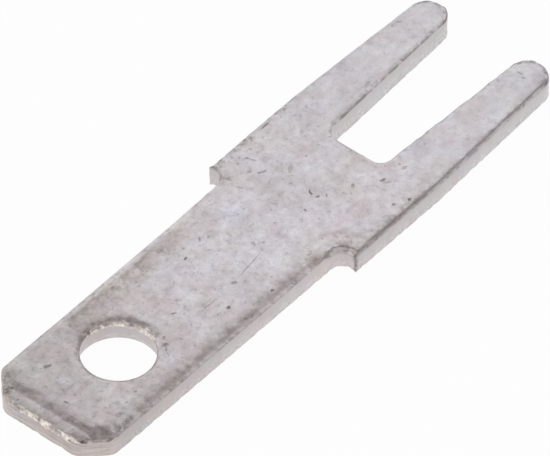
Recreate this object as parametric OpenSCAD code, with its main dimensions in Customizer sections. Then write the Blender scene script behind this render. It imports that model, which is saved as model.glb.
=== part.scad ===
// Straight tab terminal for a printed circuit board, stamped from one flat strip of tinned brass.
// It lies on its underside, with the tab towards -X, the two solder prongs towards +X and the
// coined face up. The origin is under the middle of its length. Sizes are in millimetres.

/* [Strip] */
// Thickness of the strip
strip_t = 0.5; // [0.4:0.01:0.8]
// Width of the rolled top edge that blanking leaves round the body and the prongs
roll_w = 0.1; // [0.1:0.01:0.16]
// Depth of that rolled edge, less than its width
roll_h = 0.085; // [0.08:0.005:0.095]
// Depth of the rolled edge along the tapered sides of the prongs, where it is shallower
prong_roll_h = 0.075; // [0.05:0.005:0.075]

/* [Tab] */
// Width of the tab that a receptacle grips
tab_w = 2.8; // [2.2:0.05:3.4]
// Length of the tab, from its tip to the shoulder corners
tab_l = 7; // [5.5:0.1:10]
// Length of each corner cut, along the tab
cut_l = 0.5; // [0.3:0.05:0.8]
// Width of each corner cut, across the tab
cut_w = 0.5; // [0.3:0.05:0.8]
// Radius that softens both ends of each corner cut
cut_r = 0.35; // [0.1:0.05:0.5]
// Radius of the round notch between the tab and each shoulder
notch_r = 0.275; // [0.2:0.005:0.35]

/* [Coined edges] */
// Length of the coined lead-in at the tip
lead_l = 0.56; // [0.2:0.02:0.8]
// Depth that the lead-in takes off the tip
lead_h = 0.17; // [0.08:0.01:0.25]
// Width of the coined band beside each corner cut
cut_coin_w = 0.42; // [0.2:0.02:0.6]
// Depth of the coined band at each corner cut
cut_coin_h = 0.14; // [0.06:0.01:0.2]
// Width of the coined band along each side of the tab
side_coin_w = 0.36; // [0.2:0.02:0.5]
// Depth of the coined band at the side of the tab
side_coin_h = 0.1; // [0.05:0.01:0.15]
// Radius of the turn by which each side's coined band leaves the metal before the notch
run_out_r = 0.15; // [0.12:0.01:0.6]

/* [Hole] */
// Diameter of the hole that the receptacle's dimple drops into
hole_d = 1.45; // [1:0.05:1.8]
// Distance from the tip to the middle of the hole
hole_x = 2.25; // [1.8:0.05:3.5]
// Width of the rolled rim at the top of the hole
hole_roll_w = 0.12; // [0.12:0.01:0.2]
// Depth of that rolled rim, less than its width
hole_roll_h = 0.1; // [0.05:0.005:0.11]
// Height of the torn band where the punch breaks through the underside
break_h = 0.16; // [0.05:0.01:0.2]
// Growth of the hole's radius over the torn band
break_out = 0.06; // [0.01:0.01:0.1]

/* [Body and prongs] */
// Length of the body, from the shoulder corners to the end of the slot
body_l = 2.1; // [1.2:0.1:4]
// Distance between the middles of the two prongs
prong_pitch = 2.5; // [2.3:0.05:3.2]
// Length of the prongs past the end of the slot
prong_l = 4.05; // [3:0.05:6]
// Width of each prong at its root
prong_root_w = 1.1; // [0.9:0.05:1.3]
// Width that each prong tapers to, before its end is rounded
prong_tip_w = 0.77; // [0.5:0.01:0.85]
// Radius of the corners at the end of the slot
slot_r = 0.27; // [0.15:0.01:0.4]
// Straight stretch of each prong between the slot's corner and its taper
straight_l = 0.05; // [0.05:0.05:0.8]

/* [Hidden] */
$fn = 96;
// Room and turn by which a cutter passes a face that it opens
over = 0.1;
over_turn = 20;
// Share by which a rounding runs wide of the sides that it joins, so that it crosses them cleanly
ease = 0.01;
// Angle at which a crowned edge leaves the top face
leave = 2;
half_tab = tab_w / 2;
body_w = prong_pitch + prong_root_w;
half_body = body_w / 2;
half_slot = (prong_pitch - prong_root_w) / 2;
total_l = tab_l + body_l + prong_l;
x_tip = -total_l / 2;
x_shoulder = x_tip + tab_l;
x_slot = x_shoulder + body_l;
x_corner = x_slot + slot_r;
x_taper = x_corner + straight_l;
x_end = x_slot + prong_l;
// The notch circle touches the tab's side and passes through the shoulder's corner. A shoulder
// taller than the circle has a straight face above it.
shoulder_h = half_body - half_tab;
notch_y = half_tab + notch_r;
notch_end = asin(min(1, shoulder_h / notch_r - 1));
notch_x = x_shoulder - notch_r * cos(notch_end);
// A side's coined band turns out so that it leaves the metal where the notch starts.
run_out_turn = acos(run_out_r / (run_out_r + side_coin_w));
turn_x = notch_x - (run_out_r + side_coin_w) * sin(run_out_turn);
// The circle that rounds a prong's end runs into both of its tapered sides.
prong_angle = atan((prong_root_w - prong_tip_w) / 2 / (x_end - x_taper));
end_r = (1 + ease) * prong_tip_w / 2 * cos(prong_angle) / (1 - sin(prong_angle));
end_x = x_end - end_r;

// Makes its child, which lies on the +Y side, on both sides of the middle line.
module both_sides() {
    children();
    mirror([0, 1, 0]) children();
}

// What rounding takes off the corner at here, between the sides that run to back and to ahead.
module corner_waste(back, here, ahead, r) {
    to_back = (back - here) / norm(back - here);
    to_ahead = (ahead - here) / norm(ahead - here);
    half = acos(to_back * to_ahead) / 2;
    inward = (to_back + to_ahead) / norm(to_back + to_ahead);
    reach = r / tan(half);
    difference() {
        polygon([here + to_back * reach, here - inward * over, here + to_ahead * reach]);
        translate(here + inward * (1 - ease) * r / sin(half)) circle(r);
    }
}

// The tab's outline, with its corners cut and softened. Its other end runs on into the body.
module tab_outline() {
    front = [x_tip, half_tab - cut_w];
    side = [x_tip + cut_l, half_tab];
    root = [x_shoulder + over, half_tab];
    difference() {
        polygon([
            front, [front.x, -front.y], [side.x, -side.y], [root.x, -root.y], root, side
        ]);
        both_sides() {
            corner_waste(root, side, front, cut_r);
            corner_waste(side, front, [front.x, -front.y], cut_r);
        }
    }
}

// The body, from the notches to where the prongs start to taper.
module body_outline() {
    difference() {
        translate([notch_x, -half_body]) square([x_taper - notch_x, body_w]);
        slot_outline();
        both_sides() translate([notch_x, notch_y]) circle(notch_r);
    }
}

// The straight part of the slot, with its two round corners.
module slot_outline() {
    corner_y = half_slot - slot_r;
    translate([x_slot, -corner_y]) square([slot_r, 2 * corner_y]);
    translate([x_corner, -half_slot]) square([straight_l + over, 2 * half_slot]);
    both_sides() translate([x_corner, corner_y]) circle(slot_r);
}

// One prong, tapered on both sides to a round end.
module prong_outline() {
    root = prong_root_w / 2;
    tip = prong_tip_w / 2;
    translate([0, prong_pitch / 2]) intersection() {
        polygon([[x_taper, -root], [x_end, -tip], [x_end, tip], [x_taper, root]]);
        union() {
            translate([x_taper - over, -root]) square([end_x - x_taper + over, 2 * root]);
            translate([end_x, 0]) circle(end_r);
        }
    }
}

// What is taken off a top edge, seen along the edge: the edge is at x = 0 and the metal towards
// +x. What stays is an arc that leaves the top face at x = w and meets the wall at the depth h.
module crown_section(w, h) {
    crown_r = (w * w + h * h) / (2 * (h * cos(leave) - w * sin(leave)));
    middle = [w + crown_r * sin(leave), strip_t - crown_r * cos(leave)];
    drop = min(h + over, strip_t - middle.y);
    difference() {
        translate([-over, strip_t - drop]) square([middle.x + over, drop + over]);
        translate(middle) circle(crown_r);
    }
}

// Crowns the straight edge from p to q, with the metal on the left. It may start before p and
// run on past q.
module crown_line(p, q, w, h, before = 0, past = 0) {
    d = q - p;
    translate(p) rotate(atan2(d.y, d.x)) translate([-before, 0, 0]) rotate([90, 0, 90])
        linear_extrude(before + norm(d) + past) crown_section(w, h);
}

// Crowns an inside round edge, such as a hole's rim, from the angle a on through the angle sweep.
module crown_inside(middle, r, a, sweep, w, h) {
    translate(middle) rotate(a) rotate_extrude(angle = sweep)
        translate([r, 0]) crown_section(w, h);
}

// Crowns an outside round edge in the same way.
module crown_outside(middle, r, a, sweep, w, h) {
    translate(middle) rotate(a) rotate_extrude(angle = sweep)
        translate([r, 0]) mirror([1, 0]) crown_section(w, h);
}

// The coined band along one side of the tab, which turns out of the metal before the notch.
module side_coin() {
    crown_line([turn_x, half_tab], [x_tip, half_tab], side_coin_w, side_coin_h);
    crown_inside([turn_x, half_tab + run_out_r], run_out_r, -90, run_out_turn + over_turn,
        side_coin_w, side_coin_h);
}

// The lead-in across the tip, and the coined bands beside its two corner cuts. Each band runs on
// at both ends until it leaves the metal.
module tip_coin() {
    run_on = cut_coin_w * max(cut_l / cut_w, cut_w / cut_l) + over;
    crown_line([x_tip, half_tab], [x_tip, -half_tab], lead_l, lead_h, over, over);
    both_sides()
        crown_line([x_tip + cut_l, half_tab], [x_tip, half_tab - cut_w],
            cut_coin_w, cut_coin_h, run_on, run_on);
}

// The rolled edge down one side, from the tab round the notch, the body and one prong to the slot.
module side_roll() {
    corner_y = half_slot - slot_r;
    middle_y = prong_pitch / 2;
    crown_line([notch_x, half_tab], [x_tip + cut_l, half_tab], roll_w, roll_h);
    crown_inside([notch_x, notch_y], notch_r, -90, 90 + notch_end + over_turn, roll_w, roll_h);
    if (shoulder_h > 2 * notch_r)
        crown_line([x_shoulder, half_body], [x_shoulder, half_tab + 2 * notch_r],
            roll_w, roll_h, before = over);
    crown_line([x_taper + over, half_body], [notch_x, half_body], roll_w, roll_h);
    crown_line([x_end, middle_y + prong_tip_w / 2], [x_taper, half_body],
        roll_w, prong_roll_h, past = over);
    crown_outside([end_x, middle_y], end_r, -90, 180, roll_w, roll_h);
    crown_line([x_taper, half_slot], [x_end, middle_y - prong_tip_w / 2],
        roll_w, prong_roll_h, before = over);
    crown_line([x_corner, half_slot], [x_taper + over, half_slot], roll_w, roll_h);
    crown_inside([x_corner, corner_y], slot_r, 90, 90, roll_w, roll_h);
    crown_line([x_slot, 0], [x_slot, corner_y], roll_w, roll_h);
}

// The punched hole: a rolled rim, a straight sheared wall, and a torn band that widens below.
module hole() {
    translate([x_tip + hole_x, 0, 0]) {
        translate([0, 0, -over]) cylinder(d = hole_d, h = strip_t + 2 * over);
        rotate_extrude() polygon([
            [0, 0], [hole_d / 2 + break_out, 0], [hole_d / 2, break_h], [0, break_h]
        ]);
        crown_inside([0, 0], hole_d / 2, 0, 360, hole_roll_w, hole_roll_h);
    }
}

module blade() {
    color([0.75, 0.75, 0.73])
    difference() {
        linear_extrude(strip_t) {
            tab_outline();
            body_outline();
            both_sides() prong_outline();
        }
        tip_coin();
        both_sides() {
            side_coin();
            side_roll();
        }
        hole();
    }
}

blade();
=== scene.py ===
"""Looks of a straight tab terminal for a circuit board, stamped from tinned brass strip."""

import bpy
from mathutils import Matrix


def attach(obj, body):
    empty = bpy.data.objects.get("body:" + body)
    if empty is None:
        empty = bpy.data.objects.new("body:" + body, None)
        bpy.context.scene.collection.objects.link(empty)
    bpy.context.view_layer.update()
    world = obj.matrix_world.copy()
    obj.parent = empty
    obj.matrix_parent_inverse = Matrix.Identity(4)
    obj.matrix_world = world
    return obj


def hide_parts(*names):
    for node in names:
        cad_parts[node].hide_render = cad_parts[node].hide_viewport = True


bl_info = {
    "name": "Circuit board tab terminal",
    "version": (1, 0, 0),
    "blender": (4, 5, 0),
    "location": "View3D > Sidebar > Tab Terminal",
    "description": "Models a stamped tab terminal with coined edges and a worn tin finish",
    "category": "Object",
}

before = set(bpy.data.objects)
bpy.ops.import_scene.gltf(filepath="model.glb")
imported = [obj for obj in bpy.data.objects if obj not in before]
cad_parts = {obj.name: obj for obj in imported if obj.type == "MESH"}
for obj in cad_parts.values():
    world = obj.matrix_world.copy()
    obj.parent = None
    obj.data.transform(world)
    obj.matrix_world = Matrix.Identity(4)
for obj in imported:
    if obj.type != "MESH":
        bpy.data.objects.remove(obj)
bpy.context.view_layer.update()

import math
from types import SimpleNamespace

import bmesh
import bpy
import numpy as np
from bpy.props import FloatProperty, FloatVectorProperty, PointerProperty
from mathutils import Matrix, Vector, kdtree, noise

# The blade is modelled with one unit to the millimetre, because the mesh tools' own tolerances
# are coarse for a part this small, and it is scaled to metres when its mesh is finished. The
# lengths below are in millimetres.
MM = 0.001
# Offsets of the loops beside every top edge, which carry the rolled edge
LOOPS = (0.01, 0.025, 0.042, 0.062, 0.084, 0.108, 0.14)
# How far the grid keeps off an outline that has loops, and off one that lies in its own line
PAST_LOOPS = 0.145
OFF_LINE = 0.005
# Length at the tip that has the fine grid
FINE_L = 0.6
# Heights of the rows up the walls, as shares of the strip's thickness
ROWS = (0.032, 0.12, 0.24, 0.36, 0.5, 0.64, 0.78, 0.88, 0.94, 0.976)
# Distance under which vertices are one: in the outline, and after all the cuts. IN_PLANE is the
# distance at which a vertex lies in a cut's plane.
SAME_PLACE = 1e-4
SLIVER = 0.0015
IN_PLANE = 1e-5
# Reach of the search for loops that overlap at a shoulder point, and the slack in their distance
POINT_REACH = 0.1
SLACK = 1e-3
# Spacing of the places that stand for an outline, and the distance at which a vertex is on it
PLACE_STEP = 0.004
ON_OUTLINE = 0.003
# Reach of the underside that gives way where the hole's torn band widens
TORN_REACH = 0.25
# Reach of the metal that gives way at the ragged foot of the outer wall, and its distance from
# the hole
FOOT = 0.1
FOOT_OFF_HOLE = 0.3
# Slow, fast and faster noise, and their shares in the width of the rolled edges and of the bands
NOISE_SCALES = (1.3, 5.0, 10.0)
ROLL_UNEVEN = (0.14, 0.2, 0.28)
BAND_UNEVEN = (0.08, 0.1, 0.08)
# Stretch over which the side band grows shallower towards the tip
SHALLOWER = (-4.3, -5.3)
# Direction in plan of the side of the hole's rim that keeps its worn edge, which is also painted
# bright as a highlight; the rest of the rim has little of it
RIM_SHEEN_SIDE = (0.765, 0.644)
# Tilt in degrees across the coined bands, from the wall at 0 to the flat face at 1: of the
# tab's sides, its corner cuts and the lead-in. The punch leaves a bend at a band's inner side, a
# flatter shelf and a steeper edge.
SIDE_SLOPES = (
    (0, 22), (0.04, 16), (0.1, 12), (0.18, 14), (0.28, 22), (0.44, 20), (0.58, 13), (0.75, 8),
    (0.88, 4), (1, 0),
)
CUT_SLOPES = (
    (0, 72), (0.06, 62), (0.1, 14), (0.2, 12), (0.3, 14), (0.45, 18), (0.62, 16), (0.8, 9),
    (1, 0),
)
LEAD_SLOPES = (
    (0, 74), (0.045, 66), (0.072, 6), (0.12, 5), (0.18, 6), (0.24, 2), (0.33, 2), (0.38, -4),
    (0.43, -2), (0.49, 13), (0.57, 14), (0.7, 11), (0.84, 5), (1, 0),
)
# The same across the rolled edges: of the outline, the slot, the near notch and the hole
ROLL_SLOPES = ((0, 62), (0.1, 44), (0.22, 30), (0.35, 18), (0.5, 9), (0.7, 4), (1, 0))
SLOT_SLOPES = ((0, 34), (0.15, 24), (0.5, 17), (0.75, 9), (1, 0))
NOTCH_SLOPES = ((0, 70), (0.35, 62), (0.5, 35), (0.65, 22), (0.85, 8), (1, 0))
RIM_SLOPES = ((0, 58), (0.16, 46), (0.32, 34), (0.5, 24), (0.72, 16), (0.88, 7), (1, 0))
# Edge of the floor in metres, and how much of the white that the camera sees is its own light
FLOOR_EDGE = 6
FLOOR_GLOW = 0.96
# Direction of the middle of the tent's open top, and azimuths in degrees of the dark gap in its
# walls and of the wall that is a little dimmer
OPEN_TOP = (-0.15, 0.1, 0.983)
GAP_AZIMUTH = -50
DIM_AZIMUTH = -140
# Point that the camera aims at
AIM = (0.9367, 0.6087, -0.7967)


def size(name, description, millimetres):
    """A length that a user would change. Its default is given in millimetres."""
    return FloatProperty(name=name, description=description, default=millimetres * MM,
                         min=0.0, unit="LENGTH", subtype="DISTANCE", precision=5)


def angle(name, description, degrees):
    return FloatProperty(name=name, description=description, default=math.radians(degrees),
                         subtype="ANGLE", unit="ROTATION")


def amount(name, description, default, low=0, **more):
    return FloatProperty(name=name, description=description, default=default, min=low, **more)


def colour(name, description, default):
    return FloatVectorProperty(name=name, description=description, subtype="COLOR", size=3,
                               min=0, max=1, default=default)


class BladeSizes(bpy.types.PropertyGroup):
    """The sizes of the stamped blade."""

    strip_t: size("Strip thickness", "Thickness of the strip", 0.5)
    tab_w: size("Tab width", "Width of the tab that a receptacle grips", 2.8)
    tab_l: size("Tab length", "Length from the tip to the shoulder corners", 7.0)
    cut_l: size("Corner cut length", "Length of each corner cut along the tab", 0.5)
    cut_w: size("Corner cut width", "Width of each corner cut across the tab", 0.5)
    cut_r: size("Corner cut radius", "Radius that softens both ends of a corner cut", 0.35)
    notch_r: size("Notch radius", "Radius of the notch between tab and shoulder", 0.275)
    body_l: size("Body length", "Length from the shoulders to the end of the slot", 2.1)
    prong_pitch: size("Prong pitch", "Distance between the middles of the prongs", 2.5)
    prong_l: size("Prong length", "Length of the prongs past the slot's end", 4.05)
    prong_root_w: size("Prong root width", "Width of each prong at its root", 1.1)
    prong_tip_w: size("Prong end width", "Width of each prong at its end", 0.77)
    slot_r: size("Slot corner radius", "Radius of the corners at the slot's end", 0.27)
    straight_l: size("Straight stretch", "Straight stretch before a prong tapers", 0.05)
    hole_d: size("Hole diameter", "Diameter of the hole for the dimple", 1.45)
    hole_x: size("Hole distance", "Distance from the tip to the hole's middle", 2.25)


class EdgeSizes(bpy.types.PropertyGroup):
    """The sizes of the edges that the press leaves."""

    roll_w: size("Roll width", "Width of the rolled top edge", 0.11)
    roll_h: size("Roll depth", "Depth of the rolled top edge", 0.085)
    slot_roll_w: size("Slot roll width", "Width of the rolled edge round the slot", 0.1)
    slot_roll_h: size("Slot roll depth", "Depth of the rolled edge round the slot", 0.029)
    notch_roll_w: size("Notch roll width", "Width of the rolled edge in the near notch", 0.105)
    notch_roll_h: size("Notch roll depth", "Depth of the rolled edge in the near notch", 0.115)
    hole_roll_w: size("Rim width", "Width of the hole's rolled rim", 0.19)
    hole_roll_h: size("Rim depth", "Depth of the hole's rolled rim", 0.083)
    lead_l: size("Lead-in length", "Length of the coined lead-in at the tip", 0.56)
    lead_h: size("Lead-in depth", "Depth of the coined lead-in at the tip", 0.17)
    cut_coin_w: size("Corner band width", "Width of the band at a corner cut", 0.38)
    cut_coin_h: size("Corner band depth", "Depth of the band at a corner cut", 0.14)
    side_coin_w: size("Side band width", "Width of the band along the tab", 0.36)
    side_coin_h: size("Side band depth", "Depth of the band along the tab", 0.1)
    run_out_r: size("Run-out radius", "Radius by which the side band turns out", 0.15)
    break_h: size("Torn band height", "Height of the torn band in the hole", 0.16)
    break_out: size("Torn band growth", "Growth of the hole over the torn band", 0.06)
    foot_h: size("Foot height", "Height by which the foot of the wall is ragged", 0.028)
    torn_h: size("Torn depth", "Depth of the pits in the torn lower half of the walls", 0.016)
    dish_w: size("Dish width", "Reach of the pressed dish round each notch", 0.42)
    dish_h: size("Dish depth", "Depth of the pressed dish round each notch", 0.012)
    cell: size("Grid cell", "Spacing of the grid over the faces", 0.046)
    fine_cell: size("Fine grid cell", "Spacing of the grid over the lead-in", 0.03)


class FinishLook(bpy.types.PropertyGroup):
    """The tin finish."""

    tin: colour("Tin", "Colour of the clean tin plate", (0.628, 0.594, 0.622))
    dull_tin: colour("Dull tin", "Colour of the handled tin plate", (0.574, 0.535, 0.553))
    sheared: colour("Sheared metal", "Colour of the walls", (0.583, 0.545, 0.552))
    tip_wall: colour("Tip wall", "Colour of the wall at the tab's tip", (0.628, 0.564, 0.56))
    # The worn edges' colour is brighter than the tin, so that it paints their highlight as well as
    # the wear
    polished_sheen: colour("Worn edge", "Colour of the edges that are worn bright", (0.92, 0.855, 0.795))
    tarnish: colour("Tarnish", "Colour of the metal that shows between the worn places",
                    (0.6, 0.53, 0.475))
    # This colour also paints the shade on the edges that face left
    grime: colour("Grime", "Colour of pits and smears", (0.17, 0.145, 0.125))
    roughness: amount("Roughness", "Dullness of the tin plate", 0.3, max=1, subtype="FACTOR")


class StageLook(bpy.types.PropertyGroup):
    """The studio: its camera, its floor and its light."""

    azimuth: angle("Camera azimuth", "Turn of the camera about +Z", -49.88)
    elevation: angle("Camera elevation", "Height of the camera", 45.91)
    distance: size("Camera distance", "Distance from the camera to its aim", 333.3)
    lens: amount("Lens", "Focal length on a sensor 36 mm wide", 1154.4, 1,
                 subtype="DISTANCE_CAMERA")
    wall_light: amount("Wall light", "Light of the tent's walls", 1.0)
    top_light: amount("Top light", "Light of the tent's open top", 0.28)


def only(obj):
    """Leaves obj as the one selected and active object, in Object Mode."""
    if bpy.context.object and bpy.context.object.mode != "OBJECT":
        bpy.ops.object.mode_set(mode="OBJECT")
    bpy.ops.object.select_all(action="DESELECT")
    obj.select_set(True)
    bpy.context.view_layer.objects.active = obj


def edit(obj, kind="VERT"):
    only(obj)
    bpy.ops.object.mode_set(mode="EDIT")
    bpy.ops.mesh.select_mode(type=kind)


def select_all():
    bpy.ops.mesh.select_all(action="SELECT")


def pick_faces(obj, test, least_area=0.0):
    """Selects the faces whose middle and normal pass the test."""
    bpy.ops.mesh.select_all(action="DESELECT")
    bm = bmesh.from_edit_mesh(obj.data)
    for face in bm.faces:
        if face.calc_area() > least_area and test(face.calc_center_median(), face.normal):
            face.select_set(True)
    bmesh.update_edit_mesh(obj.data)


class Pen:
    """Draws an outline in Edit Mode from one vertex, and keeps the path of each kind of edge."""

    def __init__(self, start):
        bpy.ops.mesh.primitive_plane_add(size=1)
        self.obj = bpy.context.object
        edit(self.obj)
        select_all()
        bpy.ops.mesh.merge(type="CENTER")
        bpy.ops.transform.translate(value=(*start, 0))
        self.at = Vector(start)
        self.paths = {}

    def _keep(self, kind, a, b):
        self.paths.setdefault(kind, []).append((a.copy(), b.copy()))

    def line(self, to, kind):
        to = Vector(to)
        step = to - self.at
        bpy.ops.mesh.extrude_region_move(TRANSFORM_OT_translate={"value": (*step, 0)})
        self._keep(kind, self.at, to)
        self.at = to

    def arc(self, centre, turn, steps, kind):
        """Turns about the centre by the angle, counter-clockwise where it is positive."""
        centre = Vector(centre)
        bpy.ops.mesh.spin(steps=steps, angle=-turn, center=(*centre, 0), axis=(0, 0, 1))
        arm = self.at - centre
        for n in range(1, steps + 1):
            to = centre + Matrix.Rotation(turn * n / steps, 2) @ arm
            self._keep(kind, self.at, to)
            self.at = to


def setting_names(group):
    return [n for n in group.bl_rna.properties.keys() if n not in ("rna_type", "name")]


def in_millimetres(group):
    """The group's lengths in millimetres, by name."""
    return SimpleNamespace(**{n: getattr(group, n) / MM for n in setting_names(group)})


def plan(s):
    """The places that the outline and the edges are drawn from."""
    s.half_tab = s.tab_w / 2
    s.half_body = (s.prong_pitch + s.prong_root_w) / 2
    s.half_slot = (s.prong_pitch - s.prong_root_w) / 2
    s.x_tip = -(s.tab_l + s.body_l + s.prong_l) / 2
    s.x_shoulder = s.x_tip + s.tab_l
    s.x_slot = s.x_shoulder + s.body_l
    s.x_corner = s.x_slot + s.slot_r
    s.x_taper = s.x_corner + s.straight_l
    s.x_end = s.x_slot + s.prong_l
    s.notch_turn = math.asin((s.half_body - s.half_tab) / s.notch_r - 1)
    s.notch_x = s.x_shoulder - s.notch_r * math.cos(s.notch_turn)
    s.notch_y = s.half_tab + s.notch_r
    s.hole_at = s.x_tip + s.hole_x
    s.hole_r = s.hole_d / 2
    lean = (s.prong_root_w - s.prong_tip_w) / 2 / (s.x_end - s.x_taper)
    s.prong_angle = math.atan(lean)
    s.end_r = s.prong_tip_w / 2 * math.cos(s.prong_angle) / (1 - math.sin(s.prong_angle))
    return s


def polar(centre, r, turn):
    return Vector((centre[0] + r * math.cos(turn), centre[1] + r * math.sin(turn)))


def draw_half(s):
    """Draws the +Y half of the outline, with half of the hole, and fills it."""
    eighth = math.pi / 4
    reach = s.cut_r * math.tan(eighth / 2)
    slant = Vector((s.cut_l, s.cut_w)).normalized() * reach
    front = Vector((s.x_tip, s.half_tab - s.cut_w))
    side = Vector((s.x_tip + s.cut_l, s.half_tab))
    pen = Pen((s.x_tip, 0))
    pen.line((s.x_tip, front.y - reach), "coined")
    pen.arc((s.x_tip + s.cut_r, front.y - reach), -eighth, 10, "coined")
    pen.line(side - slant, "coined")
    pen.arc((side.x + reach, s.half_tab - s.cut_r), -eighth, 10, "coined")
    pen.line((s.notch_x, s.half_tab), "rolled")
    pen.arc((s.notch_x, s.notch_y), math.pi / 2 + s.notch_turn, 22, "rolled")
    pen.line((s.x_taper, s.half_body), "rolled")
    middle = (s.x_end - s.end_r, s.prong_pitch / 2)
    turn = math.pi / 2 - s.prong_angle
    pen.line(polar(middle, s.end_r, turn), "rolled")
    pen.arc(middle, -2 * turn, 36, "rolled")
    pen.line((s.x_taper, s.half_slot), "rolled")
    pen.line((s.x_corner, s.half_slot), "rolled")
    pen.arc((s.x_corner, s.half_slot - s.slot_r), math.pi / 2, 14, "rolled")
    pen.line((s.x_slot, 0), "rolled")
    pen.line((s.hole_at + s.hole_r, 0), "middle")
    pen.arc((s.hole_at, 0), math.pi, 48, "hole")
    pen.line((s.x_tip, 0), "middle")
    select_all()
    bpy.ops.mesh.remove_doubles(threshold=SAME_PLACE)
    select_all()
    bpy.ops.mesh.edge_face_add()
    return pen


def blank(pen, s):
    """Mirrors the half, and gives the sheet its thickness. A modifier does that, because an
    extrusion leaves the edges in an order that changes from run to run."""
    obj = pen.obj
    only(obj)
    mirror = obj.modifiers.new("other half", "MIRROR")
    mirror.use_axis = (False, True, False)
    mirror.merge_threshold = SAME_PLACE
    bpy.ops.object.modifier_apply(modifier=mirror.name)
    thick = obj.modifiers.new("thickness", "SOLIDIFY")
    thick.thickness = s.strip_t
    thick.offset = 1
    bpy.ops.object.modifier_apply(modifier=thick.name)
    edit(obj, "FACE")
    select_all()
    bpy.ops.mesh.normals_make_consistent(inside=False)


def ring_edges(obj, pen, s):
    """Insets loops beside every top edge, which carry the rolled edge. Where the notch meets the
    shoulder in a point, the loops' overlap is gathered into their own crossing."""
    reached = 0
    for reach in LOOPS:
        pick_faces(obj, lambda middle, normal: normal.z > 0.9 and middle.z > 0, least_area=5)
        bpy.ops.mesh.inset(thickness=reach - reached, use_even_offset=True)
        reached = reach
        r = s.notch_r + reach
        rise = s.half_body - reach - s.notch_y
        crossing = Vector((s.notch_x + math.sqrt(r ** 2 - rise ** 2), s.half_body - reach))
        gather(obj, pen, crossing, reach, s)


def gather(obj, pen, crossing, reach, s):
    """Merges the loop's vertices that came too near the outline at both shoulder points."""
    bm = bmesh.from_edit_mesh(obj.data)
    near = [v for v in bm.verts if v.select and v.co.x < s.x_slot
            and (Vector((v.co.x, abs(v.co.y))) - crossing).length < POINT_REACH]
    off = nearest(pen.paths["rolled"], [v.co.xy for v in near])
    bpy.ops.mesh.select_all(action="DESELECT")
    for vert, distance in zip(near, off):
        at_corner = (Vector((vert.co.x, abs(vert.co.y))) - crossing).length < SLACK
        if distance < reach - SLACK or at_corner:
            vert.co.xy = crossing.x, math.copysign(crossing.y, vert.co.y)
            vert.select_set(True)
    bm.select_flush(True)
    bmesh.update_edit_mesh(obj.data)
    bpy.ops.mesh.remove_doubles(threshold=SAME_PLACE)


def spaced(start, end, step):
    count = max(1, round((end - start) / step))
    return [start + (end - start) * (n + 0.5) / count for n in range(count)]


def cut_grid(s, e):
    """Bisects the blank into a grid, with rows up its walls. No cut lies in a loop's own line."""
    start = s.x_tip + PAST_LOOPS
    xs = spaced(start, start + FINE_L, e.fine_cell)
    xs += spaced(start + FINE_L, s.x_slot - PAST_LOOPS, e.cell)
    xs += spaced(s.x_slot + OFF_LINE, s.x_end, e.cell)
    ys = spaced(2 * OFF_LINE, s.half_slot - OFF_LINE, e.cell)
    ys += spaced(s.half_slot + PAST_LOOPS, s.half_tab - PAST_LOOPS, e.cell)
    ys += spaced(s.half_tab + OFF_LINE, s.half_body - PAST_LOOPS, e.cell)
    cuts = [((x, 0, 0), (1, 0, 0)) for x in xs]
    cuts += [((0, side * y, 0), (0, 1, 0)) for y in ys for side in (1, -1)]
    cuts += [((0, 0, row * s.strip_t), (0, 0, 1)) for row in ROWS]
    for place, normal in cuts:
        select_all()
        bpy.ops.mesh.bisect(plane_co=place, plane_no=normal, threshold=IN_PLANE)
    select_all()
    bpy.ops.mesh.remove_doubles(threshold=SLIVER)


def pressed(distance, width, depth, slopes):
    """Depth of a coined band whose slope follows the given tilts, in degrees, from its wall (0)
    to its inner side (1). The whole comes to the band's depth at the wall."""
    share = np.linspace(0, 1, 201)
    tilt = np.radians(np.interp(share, *zip(*slopes)))
    drop = np.tan(tilt)
    below = np.concatenate([np.cumsum(((drop[1:] + drop[:-1]) / 2)[::-1])[::-1], [0]])
    return np.interp(np.clip(distance / width, 0, 1), share, below / below[0]) * depth


def nearest(paths, points):
    """Distance in plan from each point to the nearest place of the paths, on both sides."""
    places = []
    for a, b in paths:
        count = max(2, int((b - a).length / PLACE_STEP))
        for n in range(count + 1):
            at = a.lerp(b, n / count)
            places += [(at.x, at.y), (at.x, -at.y)]
    tree = kdtree.KDTree(len(places))
    for n, (x, y) in enumerate(places):
        tree.insert((x, y, 0), n)
    tree.balance()
    found = np.array([tree.find((x, y, 0))[2] for x, y in points])
    return np.where(found < ON_OUTLINE, 0, found)


def waver(points, scale):
    """Smooth noise from -1 to 1 at each point."""
    return np.array([noise.noise(Vector(p) * scale) for p in points])


def smooth_step(low, high, value):
    t = np.clip((value - low) / (high - low), 0, 1)
    return t * t * (3 - 2 * t)


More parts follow.
